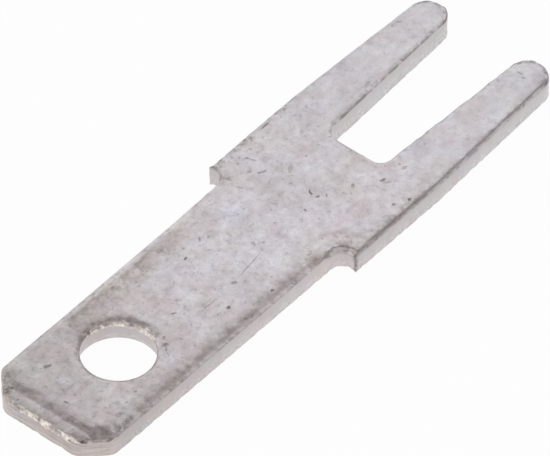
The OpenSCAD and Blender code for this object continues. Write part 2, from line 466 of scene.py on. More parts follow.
def measure(co, paths, s, e):
    """Where each vertex lies: its distances in plan, and its share in stretches of the part."""
    x, y = co[:, 0], np.abs(co[:, 1])
    v = SimpleNamespace(co=co, x=x, y=y, far=co[:, 1] > 0, near=co[:, 1] < 0)
    v.rolled, v.hole, v.coined = (nearest(paths[kind], co[:, :2])
                                  for kind in ("rolled", "hole", "coined"))
    v.edge = np.minimum(np.minimum(v.rolled, v.coined), v.hole)
    v.top = co[:, 2] > s.strip_t - SAME_PLACE
    v.on_wall = v.edge == 0
    v.wall = v.on_wall & ~v.top
    v.noises = [waver(co, scale) for scale in NOISE_SCALES]
    v.in_slot = smooth_step(s.half_slot + 0.6, s.half_slot + 0.4, y) * (x > s.x_slot - 0.3)
    v.on_prong = smooth_step(s.x_slot - 0.2, s.x_slot + 0.4, x)
    turn = math.acos(e.run_out_r / (e.run_out_r + e.side_coin_w))
    v.turn_x = s.notch_x - (e.run_out_r + e.side_coin_w) * math.sin(turn)
    v.off_notch = np.hypot(x - s.notch_x, y - s.notch_y) - s.notch_r
    in_notch = smooth_step(v.turn_x + 0.1, s.notch_x, x)
    in_notch *= smooth_step(0.04, 0, v.off_notch - v.rolled)
    v.in_far_notch, v.in_near_notch = in_notch * v.far, in_notch * v.near
    beyond = np.hypot(x - v.turn_x, y - s.half_tab - e.run_out_r) - e.run_out_r
    v.off_side = np.where(x < v.turn_x, s.half_tab - y, beyond)
    return v


def uneven(v, shares):
    """A factor about 1, by which a width changes from place to place."""
    slow, fast, faster = (share * noises for share, noises in zip(shares, v.noises))
    return 1 + slow + fast + faster


def rolled_depth(v, s, e):
    """Depth of the rolled edges, which are deeper on the prongs and in the near notch, shallower
    in the far notch, and softest in the slot."""
    off_roll = v.rolled / uneven(v, ROLL_UNEVEN)
    width = e.roll_w * (1 - 0.18 * v.on_prong)
    height = e.roll_h * (1 + 0.12 * v.on_prong)
    height *= 1 - 0.45 * smooth_step(s.notch_x + 0.05, v.turn_x, v.x)
    height *= 1 - 0.6 * v.in_far_notch
    sway = 0.25 * waver(v.co + 7, 2.7) + 0.35 * waver(v.co + 3, 7.0)
    depth = pressed(off_roll, width, height, ROLL_SLOPES) * (1 - v.in_slot)
    depth += pressed(off_roll, e.slot_roll_w, e.slot_roll_h, SLOT_SLOPES) * v.in_slot
    depth *= (1 + sway * (1 + v.in_slot)) * (1 - v.in_near_notch)
    depth += pressed(off_roll, e.notch_roll_w, e.notch_roll_h, NOTCH_SLOPES) * v.in_near_notch
    off_hole = v.hole / uneven(v, ROLL_UNEVEN)
    return np.maximum(depth, pressed(off_hole, e.hole_roll_w, e.hole_roll_h, RIM_SLOPES))


def coined_depth(v, s, e):
    """Depth of the lead-in, of the bands at the corner cuts, joined smoothly to it, and of the
    bands along the tab's sides."""
    by = uneven(v, BAND_UNEVEN)
    frayed = 0.02 * waver(v.co * (1, 1, 0), 10.0)
    lead = pressed((v.x - s.x_tip) / by + frayed, e.lead_l, e.lead_h, LEAD_SLOPES)
    slant = Vector((s.cut_l, s.cut_w)).normalized()
    off_cut = (v.x - s.x_tip) * slant.y + (s.half_tab - s.cut_w - v.y) * slant.x
    cut = pressed(off_cut / by, e.cut_coin_w, e.cut_coin_h, CUT_SLOPES)
    height = e.side_coin_h * (1 - 0.3 * smooth_step(v.turn_x - 0.8, v.turn_x + 0.1, v.x)
                              - 0.14 * smooth_step(*SHALLOWER, v.x))
    side = pressed(v.off_side / by, e.side_coin_w, height, SIDE_SLOPES)
    return np.maximum((lead ** 6 + cut ** 6) ** (1 / 6), side)


def tear_walls(v, s, e):
    """Widens the hole's torn band, and leaves the foot of the outer wall ragged."""
    co = v.co
    torn = (v.hole < TORN_REACH) & (co[:, 2] < e.break_h)
    fade = (1 - v.hole[torn] / TORN_REACH) ** 2
    grow = e.break_out * (1 - co[torn, 2] / e.break_h) * fade
    arm = co[torn, :2] - np.array([s.hole_at, 0])
    co[torn, :2] += arm / np.linalg.norm(arm, axis=1)[:, None] * grow[:, None]
    _, fast, faster = v.noises
    foot = (v.edge < FOOT) & (co[:, 2] < FOOT) & (v.hole > FOOT_OFF_HOLE)
    lift = e.foot_h * np.clip(fast[foot] + faster[foot] + 0.1, 0, 1)
    co[foot, 2] += lift * (1 - v.edge[foot] / FOOT) * (1 - co[foot, 2] / FOOT)


def press_edges(obj, pen, s, e):
    """Lowers the top of the mesh to the rolled and coined edges, and its walls with it."""
    bpy.ops.object.mode_set(mode="OBJECT")
    mesh = obj.data
    co = np.empty(len(mesh.vertices) * 3)
    mesh.vertices.foreach_get("co", co)
    co = co.reshape(-1, 3)
    v = measure(co, pen.paths, s, e)
    depth = np.maximum(rolled_depth(v, s, e), coined_depth(v, s, e))
    depth += e.dish_h * smooth_step(e.dish_w + 0.05, e.dish_w - 0.05, v.off_notch)
    co[v.top, 2] -= depth[v.top]
    co[v.wall, 2] *= 1 - depth[v.wall] / s.strip_t
    tear_walls(v, s, e)
    mesh.vertices.foreach_set("co", co.ravel())
    mesh.update()
    keep_wear(obj, v, np.where(v.on_wall, s.strip_t - depth - co[:, 2], 0), s)


def keep_wear(obj, v, below, s):
    """Stores what the finish reads: how far a place is from the edges and, on a wall, below the
    top, and how much it is handled and worn. The handled share is raised on the edges that face
    left to paint shade there, and the worn edges and the near notch's top edge are where
    highlights are painted as well. The torn half of the walls becomes a group."""
    mesh, x, y, z = obj.data, v.x, v.y, v.co[:, 2]
    keep(mesh, "edge", v.edge)
    keep(mesh, "side_band", np.where(x < s.notch_x + 0.1, np.clip(v.off_side, 0, 1), 1))
    keep(mesh, "wall", v.wall)
    in_tab = smooth_step(s.x_shoulder, s.notch_x - 0.3, x)
    at_end = smooth_step(s.x_end - s.end_r - 0.15, s.x_end - 0.5 * s.end_r, x)
    past_corner = x > s.x_corner
    # The edges that face +Y, to the left in the camera's view, are handled more, which paints
    # shade on their rolled edge, lip, patches and wall top
    facing_left = (v.co[:, 1] > s.half_body - 0.4) & (x > s.x_shoulder + 0.1)
    facing_left |= v.near & (y < s.prong_pitch / 2) & past_corner
    keep(mesh, "handled", 1 - 0.9 * in_tab - 0.5 * v.in_slot - 0.3 * v.on_prong
         + 0.5 * facing_left + 1.2 * at_end + 0.1 * v.in_slot * past_corner * v.far
         - 0.4 * v.in_slot * ~past_corner)
    # The top edge of the wall in the near notch, where a highlight is painted
    keep(mesh, "crest", v.in_near_notch * smooth_step(0.04, 0.015, v.rolled)
         * smooth_step(0.02, 0, below))
    keep(mesh, "below", below)
    corner_y = s.half_tab - s.cut_w
    off_tip = np.where(x < s.x_tip + s.cut_l + 0.1, 1.3 * v.coined, 1)
    off_tip = off_tip + 0.03 * smooth_step(corner_y, corner_y + 0.15, y)
    beyond_hole = (x - s.hole_at) * RIM_SHEEN_SIDE[0] + v.co[:, 1] * RIM_SHEEN_SIDE[1]
    off_rim = v.hole + 0.1 * smooth_step(0.45, 0.15, beyond_hole)
    keep(mesh, "worn", np.clip(np.minimum(off_rim, off_tip) + below, 0, 1))
    torn = obj.vertex_groups.new(name="torn")
    share = smooth_step(0.3, 0.18, z + 0.05 * v.noises[1]) * v.on_wall
    share *= smooth_step(0.02, 0.06, z)
    for place in np.flatnonzero(share > 0):
        torn.add([int(place)], float(share[place]), "REPLACE")


def keep(mesh, name, values):
    """Stores one value a vertex, which the finish reads."""
    attribute = mesh.attributes.new(name, "FLOAT", "POINT")
    attribute.data.foreach_set("value", np.asarray(values, np.float32))


def roughen(obj, name, scale, strength, group=None):
    """Displaces the mesh a little by a cloud texture."""
    clouds = bpy.data.textures.new(name, "CLOUDS")
    clouds.noise_scale = scale
    clouds.noise_depth = 2
    bumps = obj.modifiers.new(name, "DISPLACE")
    bumps.texture = clouds
    bumps.texture_coords = "LOCAL"
    bumps.mid_level = 1.0
    bumps.strength = strength
    if group:
        bumps.vertex_group = group
    bpy.ops.object.modifier_apply(modifier=bumps.name)


def to_metres(obj):
    edit(obj)
    select_all()
    bpy.ops.transform.resize(value=(MM, MM, MM), center_override=(0, 0, 0))
    bpy.ops.object.mode_set(mode="OBJECT")


class Nodes:
    """Adds nodes to a tree, and joins their inputs to values or to other nodes' outputs."""

    def __init__(self, tree):
        self.tree = tree
        tree.nodes.clear()

    def join(self, value, socket):
        if isinstance(value, bpy.types.NodeSocket):
            self.tree.links.new(value, socket)
        elif socket.type == "RGBA":
            socket.default_value = (*value, 1)
        else:
            socket.default_value = value

    def add(self, kind, inputs=(), **settings):
        node = self.tree.nodes.new("ShaderNode" + kind)
        for name, value in settings.items():
            setattr(node, name, value)
        for name, value in dict(inputs).items():
            self.join(value, node.inputs[name])
        return node

    def math(self, operation, a, b=0.0):
        return self.add("Math", {0: a, 1: b}, operation=operation).outputs[0]

    def vector(self, operation, a, b=(0, 0, 0)):
        """The vector that the operation gives, or its number for a distance or a dot product."""
        node = self.add("VectorMath", {0: a, 1: b}, operation=operation)
        return node.outputs["Value" if operation in ("DISTANCE", "DOT_PRODUCT") else "Vector"]

    def times(self, vector, by):
        return self.add("VectorMath", {0: vector, "Scale": by}, operation="SCALE").outputs[0]

    def span(self, value, low, high, to_low=0.0, to_high=1.0, kind="LINEAR"):
        """Carries the stretch from low to high over to the other one, and clips it there."""
        return self.add("MapRange",
                        {"Value": value, "From Min": low, "From Max": high,
                         "To Min": to_low, "To Max": to_high},
                        interpolation_type=kind).outputs["Result"]

    def ease(self, value, low, high, to_low=0.0, to_high=1.0):
        """As span, but smooth at both ends."""
        return self.span(value, low, high, to_low, to_high, "SMOOTHSTEP")

    def mix(self, share, a, b):
        node = self.add("Mix", data_type="RGBA")
        for name, value in (("Factor_Float", share), ("A_Color", a), ("B_Color", b)):
            self.join(value, next(i for i in node.inputs if i.identifier == name))
        return next(o for o in node.outputs if o.identifier == "Result_Color")

    def noise(self, where, scale, detail=2.0, roughness=0.5):
        return self.add("TexNoise", {"Vector": where, "Scale": scale, "Detail": detail,
                                     "Roughness": roughness}).outputs[0]

    def mapping(self, where, place=(0, 0, 0), scale=(1, 1, 1)):
        return self.add("Mapping",
                        {"Vector": where, "Location": place, "Scale": scale}).outputs[0]

    def attribute(self, name):
        return self.add("Attribute", attribute_name=name).outputs["Fac"]


# Pits, smears and scratches of the top face: place of the middle, length and width, turn in
# degrees and darkness
MARKS = (
    (-5.51, 0.727, 0.19, 0.085, -20, 0.55), (-5.98, -0.147, 0.13, 0.05, 115, 0.6),
    (-3.17, 1.13, 0.13, 0.08, 10, 0.5), (-1.716, 0.57, 0.09, 0.06, 0, 0.75),
    (-2.169, -0.87, 0.1, 0.075, 0, 0.8), (-2.95, -0.184, 0.12, 0.04, -30, 0.6),
    (-1.168, 0.69, 0.13, 0.05, 45, 0.55), (-1.02, 0.6, 0.1, 0.05, 30, 0.35),
    (-0.602, -0.184, 0.08, 0.05, 30, 0.4), (-1.281, -1.199, 0.09, 0.07, 0, 0.7),
    (1.92, 1.68, 0.3, 0.06, 0, 0.6), (1.478, 1.67, 0.12, 0.09, 0, 0.55),
    (1.119, -0.112, 0.15, 0.05, 60, 0.8), (1.123, -0.281, 0.1, 0.06, -40, 0.6),
    (1.253, -0.393, 0.13, 0.05, 50, 0.55), (1.769, -0.599, 0.12, 0.08, 40, 0.5),
    (1.884, -1.509, 0.07, 0.06, 0, 0.55), (2.235, -0.947, 0.14, 0.08, -20, 0.6),
    (0.696, -0.344, 0.11, 0.05, 70, 0.5), (1.03, 1.39, 0.11, 0.06, 118, 0.45),
    (2.179, -1.656, 0.1, 0.07, 0, 0.8), (-0.46, -0.28, 0.08, 0.07, 0, 0.35),
    (1.359, 0.582, 0.3, 0.12, 35, 0.28), (4.0, 0.898, 0.24, 0.12, 15, 0.3),
    (0.9, 0.96, 0.11, 0.045, 134, 0.45), (0.39, 1.3, 0.2, 0.06, 99, 0.35),
    (0.98, 0.91, 0.1, 0.045, 169, 0.4), (1.07, 1.27, 0.17, 0.05, 111, 0.3),
    (0.78, 1.12, 0.1, 0.045, 122, 0.35), (0.35, 1.01, 0.13, 0.06, 105, 0.25),
    (0.51, -1.48, 0.18, 0.03, 49, 0.35), (0.61, -1.54, 0.24, 0.03, 44, 0.35),
    (-0.14, -1.13, 0.11, 0.06, 151, 0.3), (6.09, -1.12, 0.17, 0.035, 100, 0.35),
    (6.04, -1.25, 0.12, 0.04, 110, 0.3), (5.66, 1.51, 0.17, 0.05, 142, 0.3),
    (5.5, 1.54, 0.1, 0.06, 67, 0.35),
    (2.75, -1.05, 0.16, 0.08, -10, 0.35), (-1.06, -0.46, 1.05, 0.028, 8, 0.33),
    (-2.34, -0.55, 0.5, 0.025, -2, 0.28), (-1.62, -0.53, 0.14, 0.09, -30, 0.4),
    (-6.29, -1.04, 0.3, 0.15, 75, 0.3), (-6.1, -1.36, 0.22, 0.08, -50, 0.75),
    (-6.49, -0.99, 0.19, 0.08, -50, 0.65),
    (-6.2, -0.5, 0.35, 0.05, 90, 0.2), (-6.22, -0.86, 0.4, 0.08, 85, 0.28),
    (-5.95, 1.02, 0.18, 0.1, 30, 0.18), (-6.11, 1.17, 0.2, 0.07, 45, 0.5),
    (-6.38, 0.93, 0.28, 0.13, 50, 0.25), (-6.13, 1.06, 0.45, 0.22, 45, 0.25),
    (-3.56, -0.46, 0.12, 0.06, 20, 0.4), (-3.66, -0.6, 0.14, 0.08, -30, 0.5),
    (-3.74, -0.68, 0.13, 0.06, 40, 0.45), (-3.83, -0.8, 0.12, 0.05, 60, 0.4),
)
# Broad patches of the top face, in the same way, with the change of tone
PATCHES = (
    (-0.8, -0.25, 3.4, 1.5, 0, 0.035), (-3.4, -0.7, 1.1, 0.7, 0, -0.06),
    (-5.3, -0.75, 1.4, 0.7, 15, 0.07), (-1.6, -1.0, 1.2, 0.5, 0, -0.04),
    (-3.35, 0.15, 0.7, 0.9, 0, -0.05),
)
# Broad patches that are warmer, or cooler where the last number is negative
TINTS = (
    (-0.1, 0, 1.5, 2.6, 0, -1.0), (-2.4, 0, 1.3, 1.4, 0, 1.1), (1.0, 0.3, 1.0, 1.8, 0, 0.9),
    (-3.3, -0.6, 1.0, 0.7, 0, 1.0), (0.15, -1.3, 1.1, 0.6, 0, 1.2),
)
# Crusts of grime at the tip's corners, in the same way as the marks
CRUSTS = (
    (-6.38, 0.95, 0.42, 0.3, -50, 0.75), (-6.2, 1.12, 0.5, 0.22, 45, 0.5),
    (-5.7, -1.32, 0.5, 0.14, 5, 0.5),
)
# Painted highlights: glints on the top edge of the wall in the near notch, in the same way
GLINTS = ((0.46, -1.66, 0.19, 0.06, 93, 0.9), (0.18, -1.385, 0.14, 0.05, -10, 0.7))
# Painted shade along the part, darker towards the tab's tip, as a factor on the tin's brightness:
# from HALF_L before its middle at 0 to HALF_L past it at 1
HALF_L = 6.6
SHADE_ALONG = (
    (0.0, 0.86), (0.1, 0.908), (0.2, 0.965), (0.35, 1.09), (0.6, 1.05), (0.8, 1.085), (1.0, 1.09),
)
# Stretches along the part, or across it, over which its finish changes
SOILED = (-5.2, -2.2)
TIP_TONE = (-4.4, -2.4)
TIP_WALL = (-5.98, -5.9)
PRONGS = (2.0, 3.4)
WARM = (2.0, 3.6)
SMEAR_ALONG = ((-5.2, -4.2), (-2.2, 0.2))
SMEAR_ACROSS = ((0.6, 1.12), (1.21, 1.33))
HALO_ALONG = ((-0.3, 0.3), (2.4, 3.2))
# Distances from the hole's middle over which its clean rim ends
CLEAN_RIM = (0.84, 0.98)
# Where the brightest, painted-highlight part of the tip's worn edge fades: towards its left
# corner, and off the middle line
LEFT_CORNER = (7.05, 7.4)
OFF_MIDDLE = (0.86, 1.0)
# Depth of the finest bumps, which only the shading has
BUMP_DEPTH = 0.006


class Finish(Nodes):
    """Nodes of a metal finish, with patterns in millimetres on the piece's own coordinates."""

    def __init__(self, tree):
        super().__init__(tree)
        self.at = self.mapping(self.add("TexCoord").outputs["Object"],
                               scale=(1 / MM, 1 / MM, 1 / MM))

    def scaled(self, value, by):
        return self.math("MULTIPLY", value, by)

    def joined(self, operation, first, *others):
        for other in others:
            first = self.math(operation, first, other)
        return first

    def total(self, *parts):
        return self.joined("ADD", *parts)

    def most(self, *parts):
        return self.joined("MAXIMUM", *parts)

    def product(self, *parts):
        return self.joined("MULTIPLY", *parts)

    def centred(self, value):
        return self.math("SUBTRACT", value, 0.5)

    def shifted(self, scale, reach):
        """The coordinates, moved about a little so that what is drawn on them is ragged."""
        by = self.add("TexNoise", {"Vector": self.at, "Scale": scale, "Detail": 2.0})
        by = self.times(self.vector("SUBTRACT", by.outputs["Color"], (0.5, 0.5, 0.5)), reach)
        return self.vector("ADD", self.at, by)

    def swing(self, where, scale, detail, by, roughness=0.5, place=(0, 0, 0)):
        """Noise about zero, times by."""
        if any(place):
            where = self.mapping(where, place=place)
        return self.scaled(self.centred(self.noise(where, scale, detail, roughness)), by)

    def blots(self, where, scale, low, high, place=(0, 0, 0), detail=2.0):
        """Islands of the noise that rises over low, full at high."""
        where = self.mapping(where, place=place)
        return self.ease(self.noise(where, scale, detail, 0.55), low, high)

    def strokes(self, where, scale, width, place=(0, 0, 0)):
        """Thin curved lines, broken into short strokes."""
        where = self.mapping(where, place=place)
        line = self.math("ABSOLUTE", self.centred(self.noise(where, scale, 1)))
        line = self.ease(line, 0, width, 1, 0)
        return self.product(line, self.blots(where, scale * 1.3, 0.56, 0.62, (7, 3, 0)))

    def pits(self, where, scale, low, high, share, place):
        """Round spots between two radii, in that share of the cells of a Voronoi pattern."""
        where = self.mapping(where, place=place)
        cell = self.add("TexVoronoi", {"Vector": where, "Scale": scale}, voronoi_dimensions="2D")
        chance = self.add("SeparateColor", {0: cell.outputs["Color"]}).outputs
        there = self.math("LESS_THAN", chance["Red"], share)
        radius = self.span(chance["Green"], 0, 1, low * scale, high * scale)
        off = self.math("DIVIDE", cell.outputs["Distance"], radius)
        return self.product(
            self.ease(off, 0.5, 1.2, 1, 0), there, self.span(chance["Blue"], 0, 1, 0.35, 1))

    def mark(self, where, x, y, length, width, turn, dark):
        """One long or round mark, which fades out past its size."""
        fade = 1.15
        local = self.add("Mapping",
                         {"Vector": where, "Location": (x, y, 0),
                          "Rotation": (0, 0, math.radians(turn)),
                          "Scale": (fade * length / 2, fade * width / 2, 1000)},
                         vector_type="TEXTURE").outputs[0]
        inside = self.add("TexGradient", {"Vector": local}, gradient_type="SPHERICAL")
        return self.ease(inside.outputs["Fac"], 0, 0.6, 0, dark)

    def marked(self, operation, first, where, marks):
        """Joins the marks one at a time, because the renderer can keep only few values."""
        for each in marks:
            first = self.math(operation, first, self.mark(where, *each))
        return first

    def graded(self, value, stops):
        """A smooth change of tone through the stops."""
        peak = max(tone for _, tone in stops)
        node = self.add("ValToRGB", {"Fac": value})
        ramp = node.color_ramp
        while len(ramp.elements) < len(stops):
            ramp.elements.new(0.5)
        for stop, (place, tone) in zip(ramp.elements, stops):
            stop.position = place
            stop.color = (1, 1, 1, tone / peak)
        return self.scaled(node.outputs["Alpha"], peak)


def mottle(n):
    """Brightness about zero: broad patches down to fine grain, and flecks that only darken."""
    n.mottle = n.swing(n.ragged, 6.0, 3, 0.44, 0.6)
    n.grain = n.swing(n.at, 16, 2, 0.19)
    n.clouds = n.noise(n.ragged, 2.2, 3, 0.55)
    return n.total(
        n.swing(n.at, 0.6, 1, 0.14), n.scaled(n.centred(n.clouds), 0.2), n.mottle, n.grain,
        n.scaled(n.blots(n.ragged, 8, 0.57, 0.7), -0.16),
        n.scaled(n.blots(n.ragged, 11, 0.6, 0.7, (6, 6, 0)), -0.14),
        n.scaled(n.blots(n.ragged, 3.4, 0.6, 0.75, (4, 4, 0), 4), -0.1),
        n.scaled(n.strokes(n.ragged, 3.2, 0.018), -0.2),
        n.scaled(n.strokes(n.ragged, 4.5, 0.022, (9, 2, 0)), -0.14))


def spoil(n, s):
    """Adds what spoils the faces: dark flecks that crowd round the hole and the tip, a dull
    smear along the left side of the tab, and pits, marks and crusts."""
    n.from_hole = n.vector("DISTANCE", n.at, (s.hole_at, 0, s.strip_t))
    beside = n.most(n.ease(n.from_hole, 0.8, 1.2, 0.6, 0), n.blots(n.at, 1.6, 0.42, 0.6))
    n.crowd = n.product(n.blots(n.ragged, 7.5, 0.54, 0.66, (1, 8, 0), 3), beside, n.soiled)
    n.smear = n.product(
        n.ease(n.across, *SMEAR_ACROSS[0]), n.ease(n.across, *SMEAR_ACROSS[1], 1, 0),
        n.span(n.along, *SMEAR_ALONG[0], 0.2, 1), n.ease(n.along, *SMEAR_ALONG[1], 1, 0),
        n.ease(n.noise(n.ragged, 4.5, 4, 0.6), 0.35, 0.6, 0.3, 1))
    pits = n.most(
        n.scaled(n.pits(n.ragged, 1.3, 0.016, 0.045, 0.55, (3.7, 3.7, 0)), 0.4),
        n.scaled(n.pits(n.ragged, 3.2, 0.012, 0.028, 0.5, (9.1, 9.1, 0)), 0.28))
    marks = n.marked("MAXIMUM", 0.0, n.ragged, MARKS)
    crust = n.product(
        n.marked("MAXIMUM", 0.0, n.at, CRUSTS), n.blots(n.ragged, 13, 0.42, 0.58, (4, 9, 0), 3))
    n.holes = n.product(n.most(n.product(pits, n.busy), marks, crust), n.flat)


def tone(n, pale):
    """Brightness of the faces as a factor. The metal is warmer near the edges, and painted shade
    darkens it towards the tab's tip.
    """
    warm = n.product(n.ease(n.edge, 0.1, 0.8, 1, 0), n.span(n.along, *WARM, 1, 0.3))
    n.warm = n.marked("ADD", warm, n.at, TINTS)
    pale = n.total(
        pale, n.scaled(n.crowd, -0.19), n.scaled(n.smear, -0.36), n.scaled(n.warm, -0.015))
    pale = n.marked("ADD", pale, n.at, PATCHES)
    return n.product(
        n.math("ADD", n.product(pale, n.busy, n.flat), 1.0),
        # Painted shade: darker towards the tab's tip
        n.graded(n.span(n.along, -HALF_L, HALF_L), SHADE_ALONG))


def sheared_metal(n, look, hue):
    """Colour of the walls: streaked upright, layered at the tip, and crumbly where torn."""
    upright = n.mapping(n.at, scale=(1, 1, 0.15))
    layered = n.mapping(n.at, scale=(0.5, 0.5, 5))
    at_tip = n.span(n.along, *TIP_WALL, 1, 0)
    n.streaks = n.total(
        n.swing(upright, 5, 2, 0.1), n.swing(upright, 16, 2, 0.1),
        n.product(n.swing(layered, 5, 3, 0.9), at_tip))
    torn = n.ease(n.math("ADD", n.below, n.swing(n.at, 7, 2, 0.12)), 0.2, 0.27)
    torn = n.product(torn, n.wall)
    n.crumbs = n.product(n.swing(n.at, 17, 3, 0.7, 0.6), torn, n.span(at_tip, 0, 1, 1, 0.3))
    metal = n.mix(at_tip, look.sheared, look.tip_wall)
    metal = n.vector("MULTIPLY", metal, hue)
    bright = n.total(
        n.streaks, n.crumbs, n.scaled(torn, 0.05), n.span(n.below, 0, 0.36, 0.9, 0.965))
    return n.times(metal, n.product(bright, n.span(n.along, *TIP_TONE, 1.015, 0.985)))


def clean_metal(n, look, bright):
    """Colour of the tin and of the walls: cooler where it is bright, and slow changes of hue."""
    metal = n.mix(n.span(n.math("ADD", n.clouds, n.mottle), 0.3, 0.7), look.dull_tin, look.tin)
    red = n.total(
        n.swing(n.at, 1.7, 4, 0.12, 0.7, (5, 0, 0)), n.swing(n.at, 0.7, 1, 0.06, 0.5, (8, 0, 0)),
        n.scaled(n.centred(n.clouds), -0.12), n.scaled(n.smear, 0.04), n.scaled(n.warm, 0.01),
        n.span(n.along, *WARM, 1.0, 0.982))
    blue = n.total(
        n.swing(n.at, 1.5, 4, 0.19, 0.7, (0, 6, 0)), n.scaled(n.smear, -0.08),
        n.scaled(n.warm, -0.014), n.span(n.along, *TIP_TONE, 0.992, 1.013))
    hue = n.add("CombineXYZ", {0: red, 1: 1.0, 2: blue}).outputs[0]
    metal = n.vector("MULTIPLY", metal, hue)
    metal = n.mix(n.wall, metal, sheared_metal(n, look, hue))
    return n.times(metal, bright)


def grime(n, s):
    """Grime in the rolled edge, in the coined bands, and at the top and the foot of the walls, and
    darkening along the very edges, in patches round them and down the near shoulder point. On the
    edges that face left, whose handled share is raised, the darkening of the rolled edge, the lip,
    the patches and the walls' top is painted shade.
    """
    fine_spots = n.blots(n.ragged, 11, 0.38, 0.64, (2, 5, 0), 3)
    spots = n.blots(n.ragged, 6, 0.4, 0.66, (6, 1, 0), 4)
    off_hole = n.span(n.from_hole, *CLEAN_RIM, 0.25, 1)
    # Dark in the rolled edge: grime, and painted shade on the edges that face left
    n.in_roll = n.product(
        n.ease(n.edge, 0.07, 0.13, 1, 0), n.flat, off_hole, n.span(n.handled, 0, 1.5),
        n.span(fine_spots, 0, 1, 0.25, 1), n.span(n.handled, 1.5, 1.9, 0.22, 0.7))
    in_band = n.product(
        n.ease(n.side_band, 0.04, 0.14), n.ease(n.side_band, 0.22, 0.36, 1, 0), fine_spots, n.flat)
    near_tip = n.product(n.ease(n.worn, 0.05, 0.45, 1, 0), spots, n.flat)
    top_of_wall = n.product(n.ease(n.below, 0.0, 0.07, 1, 0), n.wall, n.handled)
    foot = n.product(
        n.ease(n.noise(n.at, 9, 3, 0.6), 0.5, 0.66), n.span(n.below, 0.2, 0.45, 0.2, 1), n.wall)
    lip = n.product(
        n.ease(n.edge, 0.012, 0.04, 1, 0), n.span(n.handled, 0, 1.5, 0, 1.5), n.flat, off_hole)
    halo = n.product(
        n.ease(n.edge, 0.06, 0.3, 1, 0), n.ease(n.noise(n.ragged, 3.4, 3, 0.55), 0.4, 0.62),
        n.span(fine_spots, 0, 1, 0.4, 1), n.flat, n.handled, n.span(n.along, *HALO_ALONG[0]),
        n.span(n.along, *HALO_ALONG[1], 1, 0.45))
    # Darkens a line down the near shoulder point, unevenly
    crease = n.vector(
        "DISTANCE", n.vector("MULTIPLY", n.at, (1, 1, 0)), (s.x_shoulder, -s.half_body, 0))
    crease = n.product(
        n.ease(crease, 0.025, 0.11, 1, 0), n.span(n.noise(n.at, 14, 2), 0.35, 0.6, 0.35, 1))
    return n.most(
        n.in_roll, n.scaled(lip, 0.42), n.scaled(halo, 0.45), n.scaled(crease, 0.75),
        n.scaled(in_band, 0.1), n.scaled(near_tip, 0.1), n.scaled(top_of_wall, 0.25),
        n.scaled(foot, 0.1))


def worn_and_highlit(n, look, base):
    """Adds the edges of the tip, the hole and the near notch, which are worn bright. Their
    brightest places are painted highlight as well as wear, and the glints in the near notch are
    painted highlights.
    """
    # Painted highlights at the glints, only on the near notch's top edge
    glint = n.product(n.most(*(n.mark(n.at, *each) for each in GLINTS)), n.crest)
    frayed = n.math("ADD", n.worn, n.swing(n.ragged, 9, 3, 0.17))
    # The worn edges, with a painted highlight on a little of the near notch's top edge and at the
    # glints
    n.rim = n.most(n.ease(frayed, 0.03, 0.075, 1, 0), n.scaled(n.crest, 0.15), glint)
    to_left = n.span(n.math("SUBTRACT", n.across, n.along), *LEFT_CORNER, 1, 0.25)
    drawn = n.mapping(n.ragged, scale=(1.5, 0.7, 1))
    # The brightest places of the worn edge: wear, with a painted highlight on it
    rubbed_sheen = n.product(
        n.blots(drawn, 6, 0.37, 0.58, (3, 1, 0), 3), to_left,
        n.span(n.math("ABSOLUTE", n.across), *OFF_MIDDLE, 1, 0.3),
        n.span(n.noise(n.at, 14, 2), 0.28, 0.52, 0.3, 1))
    rubbed_sheen = n.most(rubbed_sheen, glint)
    metal = n.mix(rubbed_sheen, look.tarnish, look.polished_sheen)
    clean = n.math("SUBTRACT", 1.0, n.holes)
    base = n.mix(n.product(n.rim, clean, n.span(rubbed_sheen, 0, 1, 0.35, 1)), base, metal)
    n.bright = n.product(n.rim, rubbed_sheen)
    return base


def tin_plate(look, s):
    """Tin plate that has gone dull: mottled, pitted and scratched, greyer towards the tab's tip
    and darker there by painted shade, warmer on the sheared walls, and worn bright along the tip's
    and the hole's edges, which also carry painted highlights. The edges that face left are
    darkened by painted shade, and glints are painted in the near notch."""
    material = bpy.data.materials.new("worn tin plate")
    material.use_nodes = True
    n = Finish(material.node_tree)
    n.ragged = n.shifted(14, 0.06)
    place = n.add("SeparateXYZ", {0: n.at}).outputs
    n.along, n.across = place["X"], place["Y"]
    for name in ("wall", "edge", "side_band", "below", "worn", "crest", "handled"):
        setattr(n, name, n.attribute(name))
    n.flat = n.math("SUBTRACT", 1.0, n.wall)
    n.busy = n.ease(n.along, *PRONGS, 1, 0.65)
    n.soiled = n.ease(n.along, *SOILED, 1, 0)

    pale = mottle(n)
    spoil(n, s)
    metal = clean_metal(n, look, tone(n, pale))
    dark = n.most(n.holes, grime(n, s))
    base = worn_and_highlit(n, look, n.mix(dark, metal, look.grime))

    height = n.total(
        n.scaled(n.mottle, 1.2), n.scaled(n.grain, 1.6), n.scaled(n.holes, -2.0),
        n.product(n.scaled(n.streaks, 2.0), n.wall),
        n.product(n.swing(n.at, 12, 2, 3.0, 0.5), n.most(n.rim, n.in_roll)),
        n.scaled(n.crumbs, 3.0))
    bump = n.add("Bump", {"Height": height, "Strength": 1.0, "Distance": BUMP_DEPTH * MM})
    dullness = n.total(
        n.span(n.clouds, 0.3, 0.7, look.roughness + 0.06, look.roughness - 0.04),
        n.scaled(dark, 0.2), n.scaled(n.rim, 0.22), n.scaled(n.bright, -0.32),
        n.product(n.span(n.edge, 0.06, 0.12, 0.3, 0), n.blots(n.at, 10, 0.5, 0.62), n.flat))
    shine = n.add("BsdfPrincipled", {"Base Color": base, "Metallic": 1.0,
                                     "Roughness": dullness, "Normal": bump.outputs["Normal"]})
    n.add("OutputMaterial", {"Surface": shine.outputs[0]})
    return material


